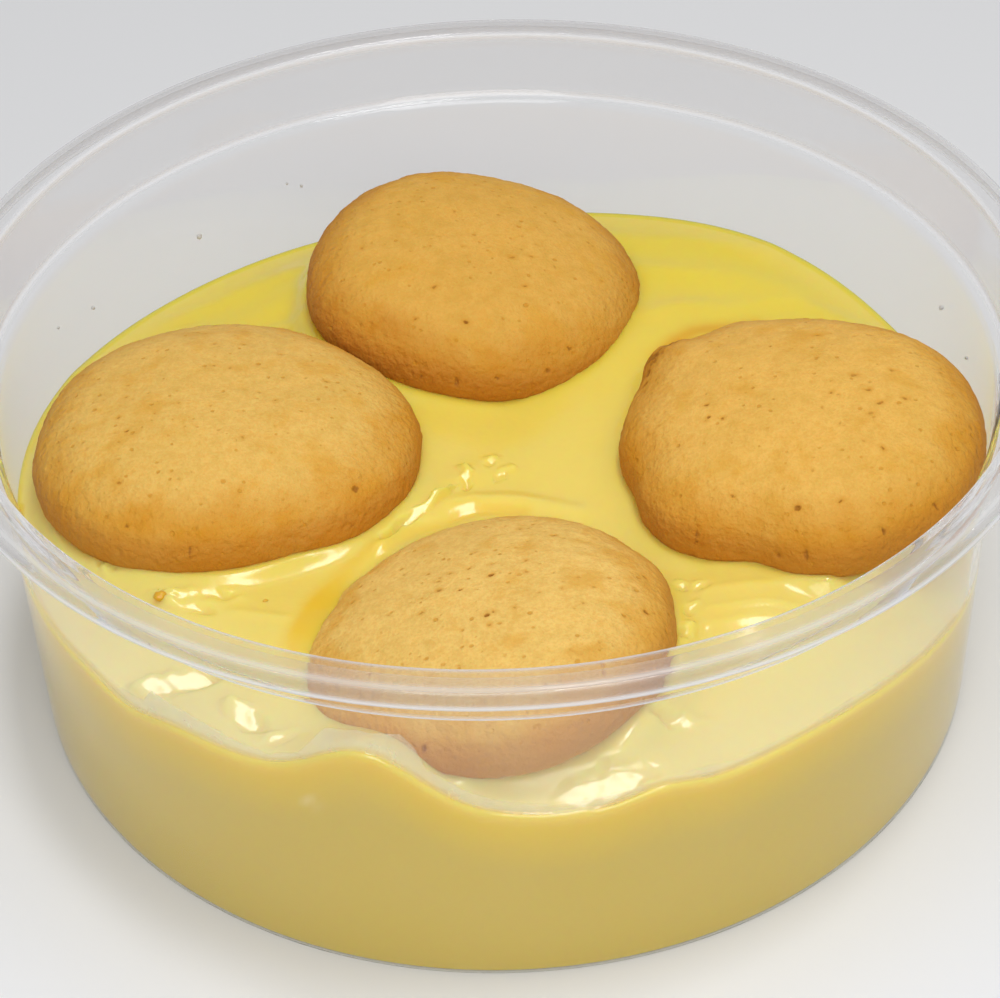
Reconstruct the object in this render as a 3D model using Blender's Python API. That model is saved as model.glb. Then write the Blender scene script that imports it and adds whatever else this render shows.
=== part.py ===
"""Banana pudding in its clear round cup, with four domed vanilla wafers set in the top.

The cup is one thin turned shell: a flat foot, a wall that flares a little, a ledge for the lid
and a rolled rim.  The pudding fills it to about half its height, with an uneven, spooned top
that climbs the wall in places.  Each wafer is a domed disc that leans its own way and sits in
a pocket pressed into the pudding.

Metres, +Z up.  The origin is the middle of the foot.  The front of the cup is -Y.
"""
import math

import bmesh
import bpy
from mathutils import Euler, Vector

# The cup: a shallow round food tub with a 117 mm rim
CUP_HEIGHT = 0.0454
RIM_RADIUS = 0.0587
RIM_WIDTH = 0.0030
RIM_SKIRT = 0.0022
RIM_ROUND = 0.0008
WALL = 0.0007
WALL_FOOT_RADIUS = 0.0517
WALL_FLARE = 0.0287
LEDGE_HEIGHT = 0.0374
LEDGE_STEP = 0.0012
LEDGE_RISE_OUTSIDE = 0.0006
LEDGE_RISE_INSIDE = 0.0010
FOOT_CORNER = 0.0009
INSIDE_CORNER = 0.0006
FOOT_OUTER = WALL_FOOT_RADIUS - FOOT_CORNER
FOOT_INNER = FOOT_OUTER - 0.0050
FOOT_RECESS = 0.0006
FOOT_SLOPE = 0.0012
CUP_STEPS = 64
ARC_STEPS = 3
WALL_BANDS = 4

# The gap between pieces that touch, and the distance under which two points are one
GAP = 0.0003
SAME_POINT = 1e-6
SHARP_EDGE_DEGREES = 40

# The pudding: its level in the middle, and how it rises or falls along the wall.
# A swell is (bearing in degrees from the front, rise, spread in degrees).
PUDDING_MIDDLE = 0.0251
PUDDING_AT_WALL = 0.0215
WALL_REACH = 0.0070
WALL_SWELLS = [
    (-15, 0.0060, 8),
    (-35, 0.0041, 35),
    (-46, -0.0012, 5),
    (16, 0.0015, 5),
    (35, 0.0023, 18),
    (78, -0.0040, 18),
    (141, 0.0026, 24),
    (-97, 0.0025, 29),
]
# A mound is (x, y, rise, spread): pudding heaped by the spoon or pushed up beside a wafer.
MOUNDS = [
    (-0.019, -0.030, 0.0023, 0.008),
    (-0.012, -0.017, 0.0011, 0.005),
    (-0.031, -0.023, 0.0012, 0.008),
    (0.026, -0.026, 0.0023, 0.009),
    (0.021, 0.018, 0.0012, 0.009),
    (0.001, 0.008, -0.0012, 0.007),
    (-0.030, 0.030, -0.0020, 0.011),
    (0.014, 0.040, -0.0008, 0.009),
]
# A ridge is (start x, start y, end x, end y, rise, half width): a crest left by the spoon.
RIDGES = [
    (-0.014, -0.010, -0.003, -0.003, 0.0007, 0.0022),
    (0.012, 0.036, 0.034, 0.030, 0.0009, 0.0024),
    (-0.046, 0.018, -0.022, 0.034, 0.0008, 0.0024),
    (-0.042, -0.026, -0.028, -0.032, 0.0007, 0.0022),
]
PUDDING_STEPS = 84
PUDDING_RINGS = 18
PUDDING_WALL_BANDS = 3
# Under 1 it crowds the rings of the top towards the wall.
RING_CROWDING = 0.85

# The wafers.  The origin of each is the middle of its widest line; the tilt turns it about X,
# then Y, in degrees.  A lobe is (order, amount, bearing in degrees) of its uneven outline.
WAFER_EDGE_DEPTH = 0.0028
WAFER_EDGE_INSET = 0.0024
WAFER_EDGE_RINGS = 3
WAFER_CROWN = 0.0077
WAFER_CROWN_RINGS = 9
WAFER_FULLNESS = 0.8
WAFER_STEPS = 36
WAFERS = {
    "wafer_back": {
        "place": (-0.0021, 0.0300, 0.0262),
        "radius": 0.0196,
        "tilt": (2.0, 8.6),
        "lobes": [(3, 0.0056, -8), (4, 0.0114, 27)],
        "colour": (0.66, 0.37, 0.09),
    },
    "wafer_left": {
        "place": (-0.0294, 0.0005, 0.0270),
        "radius": 0.0210,
        "tilt": (-3.9, 1.5),
        "lobes": [(3, 0.0270, -7), (4, 0.0062, -38)],
        "colour": (0.70, 0.41, 0.11),
    },
    "wafer_right": {
        "place": (0.0320, -0.0051, 0.0291),
        "radius": 0.0195,
        "tilt": (0.3, -6.5),
        "lobes": [(2, 0.0209, -47), (4, 0.0169, 30)],
        "colour": (0.62, 0.32, 0.07),
    },
    "wafer_front": {
        "place": (-0.0016, -0.0307, 0.0253),
        "radius": 0.0194,
        "tilt": (-8.2, -10.2),
        "lobes": [(2, 0.0124, -40), (3, 0.0292, -57), (4, 0.0228, 8)],
        "colour": (0.72, 0.43, 0.13),
    },
}

PLASTIC_COLOUR = (0.86, 0.88, 0.90)
PLASTIC_ALPHA = 0.25
PLASTIC_ROUGHNESS = 0.08
PUDDING_COLOUR = (0.80, 0.61, 0.12)
PUDDING_ROUGHNESS = 0.30
WAFER_ROUGHNESS = 0.75


def clear_scene():
    """Remove what the start-up file holds."""
    for old in list(bpy.data.objects):
        bpy.data.objects.remove(old, do_unlink=True)


def make_material(name, colour, roughness, alpha=1.0):
    """A Principled material with one colour; nothing here is metal."""
    material = bpy.data.materials.new(name)
    material.use_nodes = True
    shader = material.node_tree.nodes["Principled BSDF"]
    shader.inputs["Base Color"].default_value = (*colour, 1.0)
    shader.inputs["Roughness"].default_value = roughness
    shader.inputs["Metallic"].default_value = 0.0
    shader.inputs["Alpha"].default_value = alpha
    return material


def arc(centre, radius, start, end, steps=ARC_STEPS):
    """Points of an arc in the (radius, height) plane, angles in degrees."""
    points = []
    for step in range(steps + 1):
        angle = math.radians(start + (end - start) * step / steps)
        points.append((centre[0] + radius * math.cos(angle), centre[1] + radius * math.sin(angle)))
    return points


def spin_profile(profile, steps):
    """A closed mesh turned about Z from a profile that starts and ends on the axis."""
    mesh = bmesh.new()
    points = [mesh.verts.new((radius, 0.0, height)) for radius, height in profile]
    edges = [mesh.edges.new(pair) for pair in zip(points, points[1:])]
    bmesh.ops.spin(
        mesh,
        geom=points + edges,
        axis=(0, 0, 1),
        cent=(0, 0, 0),
        angle=math.tau,
        steps=steps,
        use_merge=True,
    )
    bmesh.ops.remove_doubles(mesh, verts=mesh.verts, dist=SAME_POINT)
    bmesh.ops.recalc_face_normals(mesh, faces=mesh.faces)
    return mesh


def add_object(name, mesh, material):
    """Put a bmesh into the scene as a smooth-shaded object."""
    data = bpy.data.meshes.new(name)
    mesh.to_mesh(data)
    mesh.free()
    data.shade_smooth()
    data.set_sharp_from_angle(angle=math.radians(SHARP_EDGE_DEGREES))
    data.materials.append(material)
    item = bpy.data.objects.new(name, data)
    bpy.context.collection.objects.link(item)
    return item


def wall_outside(height):
    """Radius of the outside of the wall at a height."""
    return WALL_FOOT_RADIUS + WALL_FLARE * height


def floor_profile(cover):
    """The inside of the foot, a distance above its outside, from the axis to the corner's arc."""
    points = [(0.0, FOOT_RECESS + cover), (FOOT_INNER, FOOT_RECESS + cover)]
    points.append((FOOT_INNER + FOOT_SLOPE, cover))
    corner = (WALL_FOOT_RADIUS - cover - INSIDE_CORNER, cover + INSIDE_CORNER)
    return points + arc(corner, INSIDE_CORNER, -90, 0)


def cup_profile():
    """The cup's section, from the middle of its floor, up the inside, and down the outside."""
    ledge_outer = wall_outside(LEDGE_HEIGHT) + LEDGE_STEP
    seat_outer = RIM_RADIUS - RIM_WIDTH
    skirt_bottom = CUP_HEIGHT - RIM_SKIRT
    lip_middle = CUP_HEIGHT - RIM_ROUND
    wall_heights = [LEDGE_HEIGHT * (band + 1) / WALL_BANDS for band in range(WALL_BANDS)]

    inside = floor_profile(WALL)
    inside += [(wall_outside(height) - WALL, height) for height in wall_heights]
    inside.append((ledge_outer - WALL, LEDGE_HEIGHT + LEDGE_RISE_INSIDE))
    inside += arc((seat_outer - WALL + RIM_ROUND, lip_middle), RIM_ROUND, 180, 90)

    rim = arc((RIM_RADIUS - RIM_ROUND, lip_middle), RIM_ROUND, 90, 0)
    rim += [(RIM_RADIUS, skirt_bottom), (RIM_RADIUS - WALL, skirt_bottom)]
    rim += [(RIM_RADIUS - WALL, CUP_HEIGHT - WALL), (seat_outer, CUP_HEIGHT - WALL)]

    outside = [(seat_outer, skirt_bottom), (ledge_outer, LEDGE_HEIGHT + LEDGE_RISE_OUTSIDE)]
    outside += [(wall_outside(height), height) for height in reversed(wall_heights)]
    outside += arc((FOOT_OUTER, FOOT_CORNER), FOOT_CORNER, 0, -90)
    outside += [(FOOT_INNER, 0.0), (FOOT_INNER - FOOT_RECESS, FOOT_RECESS), (0.0, FOOT_RECESS)]
    return inside + rim + outside


def make_cup(material):
    """The clear cup."""
    return add_object("cup", spin_profile(cup_profile(), CUP_STEPS), material)


def wafer_profile(radius):
    """A wafer's section, from the middle of its flat base, round its edge, to its crown."""
    points = [(0.0, -WAFER_EDGE_DEPTH)]
    for ring in range(WAFER_EDGE_RINGS):
        angle = math.pi / 2 * (1 - ring / WAFER_EDGE_RINGS)
        inset = WAFER_EDGE_INSET * (1 - math.cos(angle))
        points.append((radius - inset, -WAFER_EDGE_DEPTH * math.sin(angle)))
    for ring in range(WAFER_CROWN_RINGS):
        angle = math.pi / 2 * ring / WAFER_CROWN_RINGS
        points.append((radius * math.cos(angle) ** WAFER_FULLNESS, WAFER_CROWN * math.sin(angle)))
    points.append((0.0, WAFER_CROWN))
    return points


def wafer_mesh(spec, swell=0.0):
    """A wafer about its own origin.  swell grows it all round, for the pocket it lies in."""
    mesh = spin_profile(wafer_profile(spec["radius"]), WAFER_STEPS)
    for point in mesh.verts:
        bearing = math.atan2(point.co.y, point.co.x)
        reach = 1.0
        for order, amount, angle in spec["lobes"]:
            reach += amount * math.cos(order * (bearing - math.radians(angle)))
        point.co.x *= reach
        point.co.y *= reach
    if swell:
        mesh.normal_update()
        moves = [(point, point.normal.copy()) for point in mesh.verts]
        for point, outward in moves:
            point.co += outward * swell
    return mesh


def place_wafer(item, spec):
    """Lean a wafer and set it in its place."""
    item.rotation_euler = Euler([math.radians(angle) for angle in spec["tilt"]] + [0.0], "XYZ")
    item.location = spec["place"]


def make_wafers():
    """The four wafers, each baked to its own shade."""
    for name, spec in WAFERS.items():
        wafer = add_object(name, wafer_mesh(spec), make_material(name, spec["colour"], WAFER_ROUGHNESS))
        place_wafer(wafer, spec)


def bell(distance, spread):
    """A smooth bump: 1 at its middle, fading with distance."""
    return math.exp(-((distance / spread) ** 2))


def level_at_wall(bearing):
    """Height of the pudding where it meets the wall, at a bearing in degrees from the front."""
    level = PUDDING_AT_WALL
    for middle, rise, spread in WALL_SWELLS:
        away = (bearing - middle + 180) % 360 - 180
        level += rise * bell(away, spread)
    return level


def distance_to_line(x, y, start, end):
    """Distance from a point to a straight line between two points."""
    along = Vector(end) - Vector(start)
    share = (Vector((x, y)) - Vector(start)).dot(along) / along.length_squared
    nearest = Vector(start) + along * min(1.0, max(0.0, share))
    return (Vector((x, y)) - nearest).length


def pudding_level(x, y, outer):
    """Height of the pudding's top at a point, where outer is the radius it reaches."""
    level = PUDDING_MIDDLE
    for centre_x, centre_y, rise, spread in MOUNDS:
        level += rise * bell(math.hypot(x - centre_x, y - centre_y), spread)
    for start_x, start_y, end_x, end_y, rise, width in RIDGES:
        level += rise * bell(distance_to_line(x, y, (start_x, start_y), (end_x, end_y)), width)
    bearing = math.degrees(math.atan2(x, -y))
    share = bell(outer - math.hypot(x, y), WALL_REACH)
    return level * (1 - share) + level_at_wall(bearing) * share


def pudding_mesh():
    """The pudding before the wafers are pressed in."""
    clear = WALL + GAP
    top = PUDDING_AT_WALL
    outer = wall_outside(top) - clear

    profile = floor_profile(clear)
    for band in range(1, PUDDING_WALL_BANDS):
        height = top * band / PUDDING_WALL_BANDS
        profile.append((wall_outside(height) - clear, height))
    for ring in range(PUDDING_RINGS):
        profile.append((outer * (1 - ring / PUDDING_RINGS) ** RING_CROWDING, top))
    profile.append((0.0, top))

    mesh = spin_profile(profile, PUDDING_STEPS)
    for point in mesh.verts:
        if point.co.z > top - SAME_POINT:
            radius = math.hypot(point.co.x, point.co.y)
            point.co.z = pudding_level(point.co.x, point.co.y, outer)
            if radius > outer - SAME_POINT:
                reach = (wall_outside(point.co.z) - clear) / radius
                point.co.x *= reach
                point.co.y *= reach
    return mesh


def make_pudding(material):
    """The pudding, with a pocket cut for each wafer."""
    pudding = add_object("pudding", pudding_mesh(), material)
    for name, spec in WAFERS.items():
        cutter = add_object("pocket_of_" + name, wafer_mesh(spec, GAP), material)
        place_wafer(cutter, spec)
        cutter.display_type = "WIRE"
        cutter.hide_render = True
        cut = pudding.modifiers.new(cutter.name, "BOOLEAN")
        cut.operation = "DIFFERENCE"
        cut.solver = "EXACT"
        cut.object = cutter
    return pudding


def main():
    """Build the whole object."""
    clear_scene()
    make_cup(make_material("clear_plastic", PLASTIC_COLOUR, PLASTIC_ROUGHNESS, PLASTIC_ALPHA))
    make_wafers()
    make_pudding(make_material("pudding", PUDDING_COLOUR, PUDDING_ROUGHNESS))


main()
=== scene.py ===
# %% [markdown]
# # Banana pudding in a clear cup
#
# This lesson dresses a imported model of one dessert: thick yellow pudding in a shallow clear
# plastic cup, with four domed vanilla wafers set in its spooned top.
#
# The solids that come with the frame are plain.  Each of them is replaced here by a finer mesh of
# the same form: the cup's rounded rim, the wafers' pits and grain, and the folds that the spoon
# left in the pudding.  Then come the finishes: clear plastic, wet pudding and dry baked biscuit.

# %% Load the frame
import math

import bmesh
import bpy
import numpy as np
from mathutils import Euler, Matrix, Vector, noise


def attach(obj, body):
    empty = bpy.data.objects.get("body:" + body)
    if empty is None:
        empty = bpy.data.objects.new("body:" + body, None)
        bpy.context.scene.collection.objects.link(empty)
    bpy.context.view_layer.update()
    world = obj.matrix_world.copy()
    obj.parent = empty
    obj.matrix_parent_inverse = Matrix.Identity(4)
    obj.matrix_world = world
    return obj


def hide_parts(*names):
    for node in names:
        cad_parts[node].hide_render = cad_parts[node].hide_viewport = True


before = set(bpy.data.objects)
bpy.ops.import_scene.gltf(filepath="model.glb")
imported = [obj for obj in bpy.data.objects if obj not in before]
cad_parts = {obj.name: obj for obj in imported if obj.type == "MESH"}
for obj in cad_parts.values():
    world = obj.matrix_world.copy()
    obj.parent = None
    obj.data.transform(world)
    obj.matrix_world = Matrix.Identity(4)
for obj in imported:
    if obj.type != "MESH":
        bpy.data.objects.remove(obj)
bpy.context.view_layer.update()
print("nodes:", sorted(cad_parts))

# %% [markdown]
# ## The picture
#
# The photograph looks down on the cup at about forty degrees, with a long lens, and it is tilted
# a little.  Four numbers and a height to aim at place the camera.  The standard view transform
# keeps the pale yellows from turning grey, which a filmic one would do.

# %% Camera
CAMERA_DISTANCE = 0.30176
CAMERA_RISE = math.radians(39.547)
CAMERA_ROLL = math.radians(-2.047)
AIM_HEIGHT = 0.018959
LENS_MM = 99.14


def new_item(name, data):
    """An object that holds this mesh, camera or light, put in the scene."""
    item = bpy.data.objects.new(name, data)
    bpy.context.collection.objects.link(item)
    return item


camera = new_item("camera", bpy.data.cameras.new("camera"))
camera.data.lens = LENS_MM
camera.data.clip_start = 0.01
eye = Vector((0, -CAMERA_DISTANCE * math.cos(CAMERA_RISE), CAMERA_DISTANCE * math.sin(CAMERA_RISE)))
eye.z += AIM_HEIGHT
turn = Matrix.Rotation(math.pi / 2 - CAMERA_RISE, 4, "X") @ Matrix.Rotation(CAMERA_ROLL, 4, "Z")
camera.matrix_world = Matrix.Translation(eye) @ turn

scene = bpy.context.scene
scene.camera = camera
scene.view_settings.view_transform = "Standard"
print("camera at", [round(value, 4) for value in eye])

# %% [markdown]
# Clear plastic, milky pudding and soft light all take time to trace.  The render stays short when
# a ray may bounce only a few times, and when the last grain is smoothed out of the picture.  A ray
# that grazes the rim crosses plastic up to ten times, so transmission gets the most bounces.

# %% Render limits
scene.cycles.use_denoising = True
scene.cycles.use_light_tree = False
scene.cycles.max_bounces = 10
scene.cycles.diffuse_bounces = 2
scene.cycles.glossy_bounces = 4
scene.cycles.transmission_bounces = 10
print("a ray bounces", scene.cycles.max_bounces, "times at most")

# %% [markdown]
# ## Writing a finish as an expression
#
# A finish in Blender is a tree of nodes.  It can be wired one link at a time, but a formula reads
# better.  `Signal` wraps one output of a node, and its operators add Math nodes, so that
# `1 - mask * 0.5` is a finish.  `Finish` holds the tree, and its method `add` makes any node:
# settings come first, because some of them change which sockets the node has.

# %% Signal


class Signal:
    """One output of a node, which can stand in a formula."""

    def __init__(self, finish, socket):
        self.finish = finish
        self.socket = socket

    def __add__(self, other):
        return self.finish.maths("ADD", self, other)

    def __radd__(self, other):
        return self.finish.maths("ADD", other, self)

    def __sub__(self, other):
        return self.finish.maths("SUBTRACT", self, other)

    def __rsub__(self, other):
        return self.finish.maths("SUBTRACT", other, self)

    def __mul__(self, other):
        return self.finish.maths("MULTIPLY", self, other)

    def __rmul__(self, other):
        return self.finish.maths("MULTIPLY", other, self)


# %% Finish


class Finish:
    """A material, or the world, and the nodes that make its look."""

    def __init__(self, owner):
        owner.use_nodes = True
        self.owner = owner
        self.tree = owner.node_tree

    def add(self, kind, settings=None, inputs=None, output=0):
        """Make a node: its settings first, then the values or links of its sockets."""
        node = self.tree.nodes.new(kind)
        for name, value in (settings or {}).items():
            if name == "stops":
                self.set_stops(node.color_ramp, value)
            else:
                setattr(node, name, value)
        for name, value in (inputs or {}).items():
            self.feed(node.inputs[name], value)
        return Signal(self, node.outputs[output])

    def feed(self, socket, value):
        """Link a signal to a socket, or set the socket to a plain value."""
        if isinstance(value, Signal):
            self.tree.links.new(value.socket, socket)
        else:
            socket.default_value = value

    def set_stops(self, ramp, stops):
        """Give a ramp its stops, each a place from 0 to 1 and a colour."""
        while len(ramp.elements) < len(stops):
            ramp.elements.new(1.0)
        for element, (place, colour) in zip(ramp.elements, stops):
            element.position = place
            element.color = (*colour, 1.0)

    def maths(self, operation, left, right):
        """A Math node on two signals or numbers."""
        return self.add("ShaderNodeMath", {"operation": operation}, {0: left, 1: right})

    def places(self):
        """The point on the object, in metres."""
        return self.add("ShaderNodeTexCoord", output="Object")

    def far_back(self):
        """How far back the point lies, in metres: its Y."""
        return self.add("ShaderNodeSeparateXYZ", inputs={0: self.places()}, output="Y")

    def attribute(self, name):
        """A value that the mesh carries at each point."""
        return self.add("ShaderNodeAttribute", {"attribute_name": name}, output="Fac")

    def noise(self, size, detail=2.0, seed=0.0):
        """Soft noise, about 0.5 in the middle, whose lumps are this many metres across."""
        settings = {"noise_dimensions": "4D"}
        inputs = {"Vector": self.places(), "W": seed, "Scale": 1.0 / size, "Detail": detail}
        return self.add("ShaderNodeTexNoise", settings, inputs)

    def dots(self, size, share, uneven):
        """1 in small dots, at most one to a cell of this size; uneven pushes their edges about."""
        inputs = {"Vector": self.places(), "Scale": 1.0 / size}
        away = self.add("ShaderNodeTexVoronoi", inputs=inputs, output="Distance")
        chance = Signal(self, away.socket.node.outputs["Color"])
        away = away + (uneven - 0.5) * 0.40 + (chance - 0.5) * 0.20
        return (1 - self.between(away, 0.10, 0.24)) * self.between(chance, 1 - share, 1.04 - share)

    def between(self, value, low, high):
        """0 where a value is under low and 1 where it is over high, with a soft step."""
        settings = {"interpolation_type": "SMOOTHSTEP"}
        inputs = {"Value": value, "From Min": low, "From Max": high}
        return self.add("ShaderNodeMapRange", settings, inputs)

    def blend(self, share, first, second):
        """The first colour where share is 0, the second where it is 1."""
        first = first if isinstance(first, Signal) else (*first, 1.0)
        second = second if isinstance(second, Signal) else (*second, 1.0)
        inputs = {0: share, 6: first, 7: second}
        return self.add("ShaderNodeMix", {"data_type": "RGBA"}, inputs, output=2)

    def bump(self, height, depth):
        """A normal roughened by a height from 0 to 1 that stands for depth metres."""
        inputs = {"Strength": 1.0, "Distance": depth, "Height": height}
        return self.add("ShaderNodeBump", inputs=inputs)

    def shade(self, **inputs):
        """Set the sockets of the material's own Principled shader; _ in a name is a space."""
        shader = self.tree.nodes["Principled BSDF"]
        for name, value in inputs.items():
            value = (*value, 1.0) if name == "Base_Color" and isinstance(value, tuple) else value
            self.feed(shader.inputs[name.replace("_", " ")], value)
        return Signal(self, shader.outputs[0])

    def layer(self, share, first, second):
        """Two shaders mixed: the first where share is 0, the second where it is 1."""
        return self.add("ShaderNodeMixShader", inputs={0: share, 1: first, 2: second})

    def show(self, shader):
        """Send a shader to the output."""
        self.feed(self.tree.nodes["Material Output"].inputs["Surface"], shader)


def new_finish(name):
    """A new material with its nodes ready."""
    print("finish", name)
    return Finish(bpy.data.materials.new(name))


# %% [markdown]
# ## The table and the light
#
# The cup stands on a pale table in a bright room, so the shadows are soft.  The table's colour is
# lighter towards the front: painted light, for light that is stronger near the camera and falls off
# towards the back.  One small rectangular light hangs above it: its mirror image is the bright patch
# on the pudding near the front wall.  A larger one in front lifts the side that faces the camera.
# The sky is nearly even, because clear plastic shows every dark part of its surroundings as a dark
# line.

# %% Table
FLOOR_SIZE = 3.0
FLOOR_BACK = (0.800, 0.805, 0.815)
FLOOR_FRONT_PAINTED_LIGHT = (0.895, 0.910, 0.950)
FLOOR_PAINTED_LIGHT_FADE = (-0.080, 0.010)

corners = [(-1, -1), (1, -1), (1, 1), (-1, 1)]
floor_mesh = bpy.data.meshes.new("table")
floor_mesh.from_pydata([(x * FLOOR_SIZE, y * FLOOR_SIZE, 0) for x, y in corners], [], [(0, 1, 2, 3)])
floor = new_item("table", floor_mesh)
table_top = new_finish("table_top")
# Painted light: the table's colour goes lighter towards the front.
fade = table_top.between(table_top.far_back(), *FLOOR_PAINTED_LIGHT_FADE)
table_colour_painted_light = table_top.blend(fade, FLOOR_FRONT_PAINTED_LIGHT, FLOOR_BACK)
table_top.shade(Base_Color=table_colour_painted_light, Roughness=0.45, Specular_IOR_Level=0.4)
floor_mesh.materials.append(table_top.owner)

# %% Light
# A stop is (place from straight down to straight up, colour).
SKY_STOPS = [
    (0.0, (0.50, 0.50, 0.50)),
    (0.50, (0.55, 0.55, 0.55)),
    (0.62, (0.47, 0.47, 0.475)),
    (1.0, (0.46, 0.46, 0.465)),
]
LIGHT_PLACE = (0.10, 0.02, 0.70)
LIGHT_SIZE = (0.24, 0.14)
LIGHT_WATTS = 1.30
FILL_PLACE = (0.02, -0.36, 0.40)
FILL_SIZE = (0.30, 0.30)
FILL_WATTS = 0.95

world = bpy.data.worlds.new("studio")
scene.world = world
sky = Finish(world)
direction = sky.add("ShaderNodeTexCoord", output="Generated")
height = sky.add("ShaderNodeSeparateXYZ", inputs={0: direction}, output="Z")
sky_colour = sky.add("ShaderNodeValToRGB", {"stops": SKY_STOPS}, {0: height * 0.5 + 0.5})
sky.feed(sky.tree.nodes["Background"].inputs["Color"], sky_colour)


def area_light(name, place, size, watts):
    """A rectangular light that faces the cup."""
    light = bpy.data.lights.new(name, "AREA")
    light.shape = "RECTANGLE"
    light.size, light.size_y = size
    light.energy = watts
    item = new_item(name, light)
    item.location = place
    item.rotation_euler = Vector(place).to_track_quat("Z", "Y").to_euler()


area_light("overhead", LIGHT_PLACE, LIGHT_SIZE, LIGHT_WATTS)
area_light("fill", FILL_PLACE, FILL_SIZE, FILL_WATTS)
print("light and table are in place")

# %% [markdown]
# ## Skins from rings of points
#
# The cup, the wafers and the pudding are all round, so one helper makes all three.  It takes a
# stack of rings, each with the same number of points, joins each ring to the next with four-sided
# faces, and closes the first and the last ring onto a single point.  Blender's Spin tool does this
# for a perfect circle; rings of points can also be pushed about, one by one, before they are
# joined.

# %% Ring skins
# A ring can't shrink to nothing, so a profile ends this far from the axis.
NEAR_AXIS = 0.0001


def face_out(mesh):
    """Turn every face of a closed mesh outwards: glass whose faces point in acts as a mirror."""
    work = bmesh.new()
    work.from_mesh(mesh)
    bmesh.ops.recalc_face_normals(work, faces=work.faces)
    work.to_mesh(mesh)
    work.free()


def make_skin(name, rings, finish, values=None):
    """An object from an array of rings (ring, step, xyz); values are numbers for each point."""
    count, steps = rings.shape[:2]
    middles = [rings[0].mean(axis=0), rings[-1].mean(axis=0)]
    points = np.vstack([rings.reshape(-1, 3), middles])
    here = np.arange(steps)
    after = np.roll(here, -1)
    faces = []
    for ring in range(count - 1):
        low = ring * steps
        high = low + steps
        faces += np.stack([low + here, low + after, high + after, high + here], axis=1).tolist()
    last = (count - 1) * steps
    faces += [(count * steps, b, a) for a, b in zip(here.tolist(), after.tolist())]
    faces += [(count * steps + 1, last + a, last + b) for a, b in zip(here.tolist(), after.tolist())]
    mesh = bpy.data.meshes.new(name)
    mesh.from_pydata(points.tolist(), [], faces)
    face_out(mesh)
    mesh.shade_smooth()
    mesh.materials.append(finish.owner)
    for label, numbers in (values or {}).items():
        full = np.concatenate([numbers.reshape(-1), [numbers[0].mean(), numbers[-1].mean()]])
        mesh.attributes.new(label, "FLOAT", "POINT").data.foreach_set("value", full.astype(np.float32))
    print(name, "has", len(points), "points")
    return new_item(name, mesh)


# %% Profiles and bumps


def spin(profile, steps):
    """Rings turned about Z from a list of (radius, height)."""
    profile = np.array(profile)
    bearing = np.arange(steps) * math.tau / steps
    radius = profile[:, :1]
    level = np.repeat(profile[:, 1:], steps, axis=1)
    return np.stack([radius * np.cos(bearing), radius * np.sin(bearing), level], axis=2)


def arc(centre, radius, start, end, steps):
    """Points of an arc in the (radius, height) plane, angles in degrees."""
    angles = np.radians(np.linspace(start, end, steps + 1))
    return [(centre[0] + radius * math.cos(a), centre[1] + radius * math.sin(a)) for a in angles]


def even_steps(profile, count):
    """The same profile with its points spread evenly along it."""
    profile = np.array(profile)
    run = np.concatenate([[0], np.cumsum(np.hypot(*np.diff(profile, axis=0).T))])
    wanted = np.linspace(0, run[-1], count)
    return np.stack([np.interp(wanted, run, column) for column in profile.T], axis=1)


def bell(distance, spread):
    """A smooth bump: 1 at its middle, fading with distance."""
    return np.exp(-((distance / spread) ** 2))


def relief(points, size, octaves=1, seed=0):
    """Soft noise from -1 to 1 at each point, with lumps of this size in metres."""
    shift = Vector((seed * 3.7, seed * 1.3, seed * 2.1))
    spots = [Vector(point) / size + shift for point in points.reshape(-1, 3)]
    values = [noise.fractal(spot, 1.0, 2.0, octaves) for spot in spots]
    return np.array(values).reshape(points.shape[:-1])


def on_ground(x, y):
    """The same places as points at height 0."""
    return np.stack([x, y, np.zeros(x.shape)], axis=-1)


def turn_from(middle, bearing):
    """How far a bearing is from another, between -180 and 180 degrees."""
    return (bearing - middle + 180) % 360 - 180


def distance_to_path(x, y, path):
    """Distance from each point to the nearest stretch of a path, all in millimetres."""
    nearest = np.full(x.shape, np.inf)
    for (start_x, start_y), (end_x, end_y) in zip(path, path[1:]):
        run_x, run_y = end_x - start_x, end_y - start_y
        share = ((x - start_x) * run_x + (y - start_y) * run_y) / (run_x**2 + run_y**2)
        share = np.clip(share, 0, 1)
        away = np.hypot(x - start_x - run_x * share, y - start_y - run_y * share)
        nearest = np.minimum(nearest, away)
    return nearest


def settle(piece, slot, *nodes):
    """Tie a piece to the one body and hide the plain solids it stands for."""
    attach(piece, "root")
    if nodes:
        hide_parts(*nodes)


# %% [markdown]
# ## The clear cup
#
# The real cup is a thin shell pressed from a clear sheet: a flat foot, a wall that flares a
# little, a ledge that the lid rests on and a rim that rolls over into a short skirt.  The section
# repeats the solid's sizes, with every corner rounded: the ledge's corners most of all, which the
# press leaves as one soft wave.

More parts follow.
